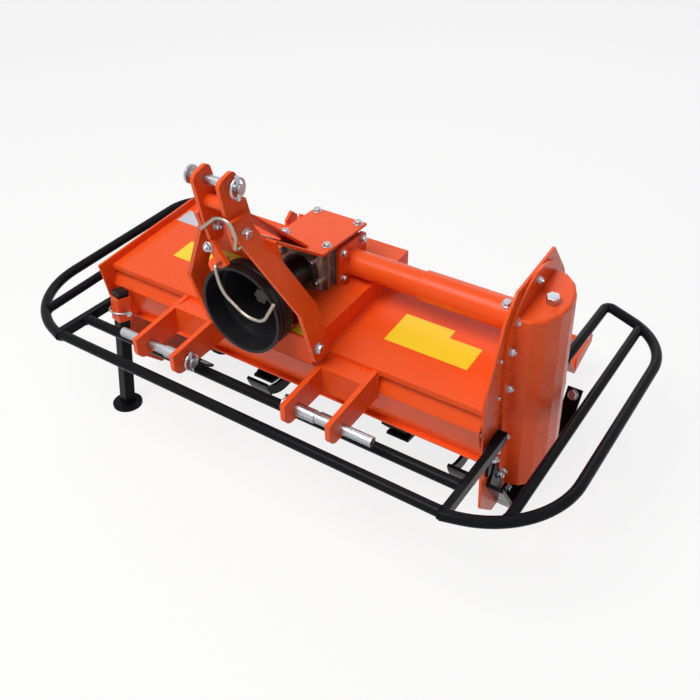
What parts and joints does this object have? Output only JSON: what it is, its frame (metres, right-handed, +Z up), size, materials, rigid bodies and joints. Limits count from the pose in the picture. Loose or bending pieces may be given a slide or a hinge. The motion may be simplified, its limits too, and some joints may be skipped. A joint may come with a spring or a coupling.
{
  "type": "tractor-mounted rotavator",
  "caption": "Three-point rotary tiller with folded hood, side chain drive, bent tine rotor, tube safety guard, rear flap and drop-leg parking stand.",
  "frame": {"origin": "floor point under the middle of the machine's plan", "axes": "+X towards the chain drive side, -Y towards the tractor, +Z up"},
  "size_m": [1.443, 0.9164, 0.8045],
  "materials": {
    "orange_paint": "gloss enamel",
    "black_paint": "gloss enamel",
    "zinc_plate": "bright zinc plating",
    "bright_wire": "plated wire",
    "black_plastic": "moulded plastic",
    "cast_housing": "rough casting"
  },
  "bodies": {
    "frame": {"chain_case": "orange_paint", "chain_case_flange": "orange_paint", "drive_tube": "orange_paint", "filler_plug": "zinc_plate", "flap_hinge_rod": "zinc_plate", "flap_lug": "orange_paint", "front_beam": "orange_paint", "gearbox_bridge": "orange_paint", "gearbox_cover": "orange_paint", "gearbox_end_plate": "orange_paint", "gearbox_housing": "cast_housing", "guard_bar_left": "black_paint", "guard_bar_right": "black_paint", "guard_bracket_front_left": "black_paint", "guard_bracket_front_right": "black_paint", "guard_bracket_rear_left": "black_paint", "guard_bracket_rear_right": "black_paint", "guard_cross_left": "black_paint", "guard_cross_right": "black_paint", "guard_loop_left": "black_paint", "guard_loop_right": "black_paint", "guard_rail_front": "black_paint", "guard_rail_inner": "black_paint", "hitch_bracket_left": "orange_paint", "hitch_bracket_right": "orange_paint", "hood_top": "orange_paint", "hook_strap": "orange_paint", "linch_pin_left": "zinc_plate", "linch_pin_right": "zinc_plate", "lower_pin_left": "zinc_plate", "lower_pin_right": "zinc_plate", "mast_brace": "orange_paint", "mast_leg_left": "orange_paint", "mast_leg_right": "orange_paint", "mast_plate_left": "orange_paint", "mast_plate_right": "orange_paint", "mast_spacer": "orange_paint", "mast_tie": "orange_paint", "pto_shield": "black_plastic", "rotor_bearing": "cast_housing", "rotor_seat": "cast_housing", "shaft_arch": "bright_wire", "shaft_hook": "bright_wire", "side_plate_left": "orange_paint", "side_plate_right": "orange_paint", "skid_left": "black_paint", "skid_right": "black_paint", "stand_lock_pin": "zinc_plate", "stand_socket": "orange_paint", "top_linch_pin": "zinc_plate", "top_pin": "zinc_plate"},
    "rotor": {"rotor_shaft": "black_paint", "tines": "black_paint"},
    "input_shaft": {"input_shaft": "zinc_plate"},
    "stand": {"stand_leg": "black_paint", "stand_cap": "black_plastic"},
    "rear_flap": {"rear_flap": "orange_paint"}
  },
  "joints": [
    {"name": "rotor_spin", "type": "hinge", "parent": "frame", "child": "rotor", "pos_m": [0, -0.038, 0.192], "axis": [1, 0, 0], "continuous": true},
    {"name": "input_spin", "type": "hinge", "parent": "frame", "child": "input_shaft", "pos_m": [0, -0.172, 0.48], "axis": [0, -1, 0], "continuous": true},
    {"name": "stand_slide", "type": "slide", "parent": "frame", "child": "stand", "axis": [0, 0.1288, 0.9917], "range_m": [0, 0.2]},
    {"name": "flap_swing", "type": "hinge", "parent": "frame", "child": "rear_flap", "pos_m": [0, 0.14, 0.345], "axis": [1, 0, 0], "range_deg": [0, 60]}
  ],
  "couplings": [
    {"joint": "input_spin", "follows": "rotor_spin", "ratio": 2.571}
  ]
}
